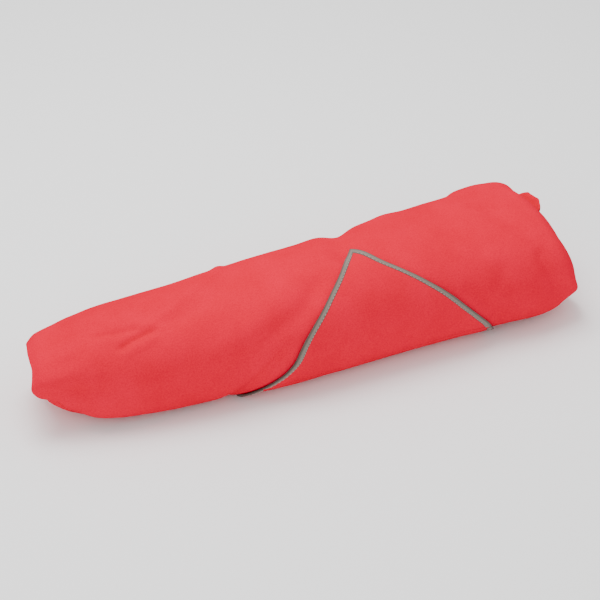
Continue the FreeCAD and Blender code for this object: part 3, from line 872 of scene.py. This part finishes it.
def edge_lines(s_low, s_high, spacing):
    """Outer and inner line of the tape in the flat pattern, from the left edge to the right."""
    count = max(3, int((s_high - s_low) * math.sqrt(2) / spacing))
    s = np.linspace(s_low, s_high, count)
    pull = BINDING_WIDTH * math.sqrt(2)
    outer_left = np.stack([APEX_X - (REACH - np.maximum(s, TURN_UNDER)), s], -1)
    shrink = (s_high - pull - s_low) / (s_high - s_low) if s_high >= REACH else 1.0
    if s_high >= REACH:
        inner_s = s_low + (s - s_low) * shrink
        inner_left = np.stack([APEX_X - (REACH - pull - inner_s), inner_s], -1)
    else:
        inner_left = outer_left + np.array((BINDING_WIDTH, -BINDING_WIDTH)) / math.sqrt(2)
    return outer_left, inner_left


def tape(name, outer, inner):
    """The folded tape between two lines of the flat pattern, as a closed tube."""
    rows = []
    for c, h in PROFILE:
        flat = outer + (inner - outer) * c
        offset = LIFT + 0.15 + BINDING_THICKNESS * h
        rows.append(on_flap(flat[:, 0], flat[:, 1], offset))
    points = np.array(rows).transpose(1, 0, 2)
    points[..., 2] = np.maximum(points[..., 2], 0.15)
    count, ring = points.shape[:2]
    verts = points.reshape(-1, 3) * MM
    faces = grid_faces(count, ring, closed=True)
    faces.append(tuple(range(ring)))
    faces.append(tuple(range((count - 1) * ring, count * ring))[::-1])
    obj = new_object(name, verts, faces)
    attribute = obj.data.attributes.new("across", "FLOAT", "POINT")
    attribute.data.foreach_set("value", np.tile([c for c, _ in PROFILE], count).astype(np.float32))
    outward(obj)
    shade(obj)
    return obj


def mirrored(line):
    """The same line on the corner's other side, in the opposite order."""
    flipped = line[::-1].copy()
    flipped[:, 0] = 2 * APEX_X - flipped[:, 0]
    return flipped


outer, inner = edge_lines(FLAP_OVERLAP, REACH, 2.2)
binding = tape("flap_binding", np.concatenate([outer[:-1], mirrored(outer)]),
               np.concatenate([inner[:-1], mirrored(inner)]))
finish_piece(binding, BINDING_MAT)
bend_blend(binding)
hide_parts("flap_binding_left", "flap_binding_right", "tip_binding_left", "tip_binding_right")

for word in ("left", "right"):
    outer, inner = edge_lines(-ROOT_DEPTH, FLAP_OVERLAP, 2.2)
    if word == "right":
        outer, inner = mirrored(outer), mirrored(inner)
    piece = tape("flap_root_binding_" + word, outer, inner)
    finish_piece(piece, BINDING_MAT)
    root_blend(piece)

# ---- stitches along the binding's inner fold ----------------------------------------
STITCH = 2.1
STITCH_GAP = 0.9
THREAD_R = 0.22
STITCH_PLACE = 0.80             # across the tape


def stitches(name, s_low, s_high):
    """One row of stitches along each of the corner's edges."""
    verts, faces = [], []
    ring = 6
    pull = BINDING_WIDTH * STITCH_PLACE * math.sqrt(2)
    step = (STITCH + STITCH_GAP) / math.sqrt(2)
    for side in (-1, 1):
        s = s_low
        while s + step < min(s_high, REACH - pull - 0.8):
            ends = np.array([s, s + STITCH / math.sqrt(2)])
            places = np.linspace(ends[0], ends[1], 5)
            x = APEX_X + side * (REACH - pull - np.maximum(places, TURN_UNDER))
            lift = LIFT + 0.15 + BINDING_THICKNESS * 0.90 + np.array((-0.20, 0.10, 0.16, 0.10, -0.20))
            line = on_flap(x, places, lift)
            for k in range(5):
                ahead = line[min(k + 1, 4)] - line[max(k - 1, 0)]
                ahead /= np.linalg.norm(ahead)
                side_way = np.cross(ahead, (0.3, -0.5, 0.8))
                side_way /= np.linalg.norm(side_way)
                up_way = np.cross(side_way, ahead)
                radius = THREAD_R * (0.55 if k in (0, 4) else 1.0)
                for r in range(ring):
                    a = 2 * math.pi * r / ring
                    verts.append((line[k] + (side_way * math.cos(a) + up_way * math.sin(a)) * radius) * MM)
            first = len(verts) - 5 * ring
            for i in range(4):
                for r in range(ring):
                    q = (r + 1) % ring
                    faces.append((first + i * ring + r, first + i * ring + q,
                                  first + (i + 1) * ring + q, first + (i + 1) * ring + r))
            faces.append(tuple(range(first, first + ring))[::-1])
            faces.append(tuple(range(first + 4 * ring, first + 5 * ring)))
            s += step
    obj = new_object(name, verts, faces)
    outward(obj)
    shade(obj)
    return obj


seam = stitches("flap_stitches", FLAP_OVERLAP + 0.6, REACH)
finish_piece(seam, THREAD_MAT)
bend_blend(seam)
root_seam = stitches("flap_root_stitches", -14.0, FLAP_OVERLAP)
finish_piece(root_seam, THREAD_MAT)
root_blend(root_seam)

# ---- the side corners, tucked in over the base at both ends ---------------------------
CORNER_INSET = 5.0              # they start this far in from the roll's ends
CORNER_OFFSET = -3.7            # and lie this far inside its surface
CORNER_RIPPLE = 0.35


def corner_cloth(name, side, reach_x):
    columns, rows = 44, 16
    start = END - CORNER_INSET
    angle = np.radians(np.linspace(-14, -166, columns))
    point = 1 - np.abs(np.linspace(-1, 1, columns)) ** 1.15
    grid = []
    for i in range(rows):
        share = i / (rows - 1)
        x = side * (start - (start - reach_x) * point * share)
        ripple = CORNER_RIPPLE * np.sin(np.linspace(0, 9, columns)) * (1 - share)
        grid.append(section(x, angle, CORNER_OFFSET - ripple))
    points = np.array(grid)
    points[..., 2] = np.maximum(points[..., 2], 2.1)
    return thicken(grid_object(name, points), CLOTH * 0.9)


for name, node, side, reach_x in (("left_corner_cloth", "left_corner_fold", -1, 192.0),
                                  ("right_corner_cloth", "right_corner_fold", 1, 201.0)):
    piece = corner_cloth(name, side, reach_x)
    finish_piece(piece, CLOTH_MAT)
    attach(piece, "wrap")
    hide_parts(node)

# ---- the skins -----------------------------------------------------------------------
SKIN_Y = -6.0                   # middle of the strips
NARROW_END = (-200.0, 71.0)     # x and width of the strips at the big folds
WIDE_END = (170.0, 92.0)        # x and width at the tip
PLUSH = 2.8
BACKING = 0.9
SAVER = 0.4
NEAR_BACKING = SAVER / 2 + 0.1
NEAR_PLUSH = NEAR_BACKING + BACKING
FAR_PLUSH = NEAR_PLUSH + PLUSH
LOOP_INNER_R = 4.0
LOOP_CENTRE_X = -184.0
TIP_RUN = 352.0
TAIL_RUN = 283.0
FOLD_RUN = 337.0
SKINS = [("skin_1", 23.6, 0.60, 0.35), ("skin_2", 48.2, 0.45, 1.75)]  # level, lean, tilt


class Folded:
    """Side view of one folded skin, as in the CAD part."""

    def __init__(self, level, lean, tilt):
        self.centre = np.array((LOOP_CENTRE_X, level))
        self.lean = math.radians(lean)
        self.tilt = math.radians(tilt)
        self.mid_r = LOOP_INNER_R + FAR_PLUSH

    def angle(self, side):
        return side * self.lean + self.tilt

    def direction(self, side):
        return np.array((math.cos(self.angle(side)), math.sin(self.angle(side))))

    def normal(self, side):
        return np.array((-math.sin(self.angle(side)), math.cos(self.angle(side)))) * side

    def run(self, side, radius, start, end):
        count = max(3, int(abs(end - start) / 9.0))
        return [self.centre + self.normal(side) * radius + self.direction(side) * d
                for d in np.linspace(start, end, count)]

    def loop(self, radius, first):
        """Half turn round the big fold, from pair first to the other one."""
        top = math.pi / 2 + self.angle(1)
        low = math.pi * 1.5 + self.angle(-1)
        turns = np.linspace(top, low, 14)[1:-1]
        if first < 0:
            turns = turns[::-1]
        return [self.centre + radius * np.array((math.cos(a), math.sin(a))) for a in turns]

    def fold(self, radius):
        """Tight fold at the lower pair's free end, from its outer run to its inner one."""
        middle = self.centre + self.normal(-1) * self.mid_r + self.direction(-1) * FOLD_RUN
        turns = np.linspace(0, math.pi, 9)[1:-1]
        return [middle + radius * (self.normal(-1) * math.cos(a) + self.direction(-1) * math.sin(a))
                for a in turns]

    def line(self, m):
        """Middle line of the layer that lies m from the glued faces."""
        outer, inner = self.mid_r + m, self.mid_r - m
        points = self.run(1, outer, TIP_RUN, 0) + self.loop(outer, 1)
        points += self.run(-1, outer, 0, FOLD_RUN) + self.fold(m)
        points += self.run(-1, inner, FOLD_RUN, 0) + self.loop(inner, -1)
        points += self.run(1, inner, 0, TAIL_RUN)
        return np.array(points)

    def saver_line(self):
        points = self.run(1, self.mid_r, TIP_RUN, 0) + self.loop(self.mid_r, 1)
        points += self.run(-1, self.mid_r, 0, FOLD_RUN - 1.0)
        return np.array(points)


def skin_width(x):
    share = (x - NARROW_END[0]) / (WIDE_END[0] - NARROW_END[0])
    return NARROW_END[1] + (WIDE_END[1] - NARROW_END[1]) * share


def strip(name, line, thickness, inset, ragged):
    """Band swept along a side-view line, its long edges rounded and a little uneven."""
    ahead = np.gradient(line, axis=0)
    ahead /= np.linalg.norm(ahead, axis=1)[:, None]
    up = np.stack([-ahead[:, 1], ahead[:, 0]], -1)
    shares = [-1.0, -0.985, -0.93, -0.6, -0.2, 0.2, 0.6, 0.93, 0.985, 1.0]
    profile = [(c, 1.0 if abs(c) < 0.95 else (0.8 if abs(c) < 0.99 else 0.35)) for c in shares]
    ring = [(c, h) for c, h in profile] + [(c, -h) for c, h in reversed(profile)]
    verts = []
    for p, n in zip(line, up):
        half = skin_width(p[0]) / 2 - inset
        for c, h in ring:
            jag = ragged * noise.noise(Vector((p[0] * 0.21, p[1] * 0.21, 5.0 + math.copysign(1, c))))
            y = SKIN_Y + c * (half + (jag if abs(c) > 0.9 else 0.0))
            q = p + n * h * thickness / 2
            verts.append((q[0] * MM, y * MM, q[1] * MM))
    count, size = len(line), len(ring)
    faces = grid_faces(count, size, closed=True)
    faces.append(tuple(range(size)))
    faces.append(tuple(range((count - 1) * size, count * size))[::-1])
    obj = new_object(name, verts, faces)
    outward(obj)
    shade(obj)
    return obj


for skin, level, lean, tilt in SKINS:
    path = Folded(level, lean, tilt)
    for word, line, thickness, inset, ragged, material, slot in (
            ("plush", path.line((NEAR_PLUSH + FAR_PLUSH) / 2), PLUSH, 0.3, 0.35, PLUSH_MAT, "skin_plush"),
            ("backing", path.line((NEAR_BACKING + NEAR_PLUSH) / 2), BACKING, 0.5, 0.0, BACKING_MAT,
             "skin_backing"),
            ("glue_saver", path.saver_line(), SAVER, -0.4, 0.9, SAVER_MAT, "glue_saver")):
        piece = strip("%s_%s_cover" % (skin, word), line, thickness, inset, ragged)
        finish_piece(piece, material)
        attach(piece, "wrap")
        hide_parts("%s_%s" % (skin, word))

# ---- webbing tabs and straps, softened from their CAD shapes -------------------------
WELD = 0.00001                  # metres, as is the voxel
VOXEL = 0.00040

for skin, *_ in SKINS:
    for part in ("tip_tab", "tail_strap"):
        node = "%s_%s" % (skin, part)
        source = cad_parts[node]
        piece = bpy.data.objects.new(node + "_webbing", source.data.copy())
        bpy.context.scene.collection.objects.link(piece)
        weld = piece.modifiers.new("weld", "WELD")
        weld.merge_threshold = WELD
        remesh = piece.modifiers.new("remesh", "REMESH")
        remesh.mode = "VOXEL"
        remesh.voxel_size = VOXEL
        soften = piece.modifiers.new("soften", "SMOOTH")
        soften.factor = 0.5
        soften.iterations = 3
        settle(piece)
        shade(piece)
        finish_piece(piece, WEBBING_MAT)
        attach(piece, "wrap")
        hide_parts(node)
    for part, material in (("tip_rivets", STEEL_MAT), ("tip_loop", STEEL_MAT), ("tail_rivets", STEEL_MAT),
                           ("hook_pin", STEEL_MAT), ("tail_hook", ALUMINIUM_MAT)):
        mesh_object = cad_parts["%s_%s" % (skin, part)]
        for holder in mesh_object.material_slots:
            holder.material = material

# ---- floor, light and camera ---------------------------------------------------------
FLOOR_HALF = 3.0                # metres, as everything from here on
FLOOR_Z = -0.0002
floor_corners = [(-1, -1), (1, -1), (1, 1), (-1, 1)]
floor = new_object("floor", [(a * FLOOR_HALF, b * FLOOR_HALF, FLOOR_Z) for a, b in floor_corners],
                   [(0, 1, 2, 3)])
floor_nodes = Nodes("floor")
floor_nodes.set(Base_Color=(0.92, 0.92, 0.92, 1.0), Roughness=0.9, Specular_IOR_Level=0.1)
floor.data.materials.append(floor_nodes.material)

world = bpy.data.worlds.new("studio")
bpy.context.scene.world = world
world.use_nodes = True
world.node_tree.nodes["Background"].inputs[0].default_value = (1.0, 1.0, 1.0, 1.0)
world.node_tree.nodes["Background"].inputs[1].default_value = 1.05


def softbox(name, place, target, size, watts):
    data = bpy.data.lights.new(name, "AREA")
    data.shape = "SQUARE"
    data.size = size
    data.energy = watts
    lamp = bpy.data.objects.new(name, data)
    bpy.context.scene.collection.objects.link(lamp)
    lamp.location = place
    lamp.rotation_euler = (Vector(target) - Vector(place)).to_track_quat("-Z", "Y").to_euler()


MIDDLE = (0.0, 0.0, 0.04)       # of the roll
softbox("key", (-0.15, 0.30, 1.30), MIDDLE, size=0.8, watts=19.0)
softbox("fill", (-0.8, -1.2, 0.80), MIDDLE, size=1.2, watts=7.0)

AZIMUTH = math.radians(-24.7)
ELEVATION = math.radians(34.0)
DISTANCE = 1.5
LENS = 105.7                    # on a sensor 36 mm wide
SENSOR = 36.0
back = Vector((math.sin(AZIMUTH) * math.cos(ELEVATION), -math.cos(AZIMUTH) * math.cos(ELEVATION),
               math.sin(ELEVATION)))
right = Vector((math.cos(AZIMUTH), math.sin(AZIMUTH), 0.0))
up = back.cross(right)
aim = Vector((0.0, -0.0024, 0.040)) - right * 0.0017 + up * 0.0051
camera_data = bpy.data.cameras.new("camera")
camera_data.lens = LENS
camera_data.sensor_width = SENSOR
camera = bpy.data.objects.new("camera", camera_data)
bpy.context.scene.collection.objects.link(camera)
camera.location = aim + back * DISTANCE
camera.rotation_euler = (-back).to_track_quat("-Z", "Y").to_euler()
bpy.context.scene.camera = camera
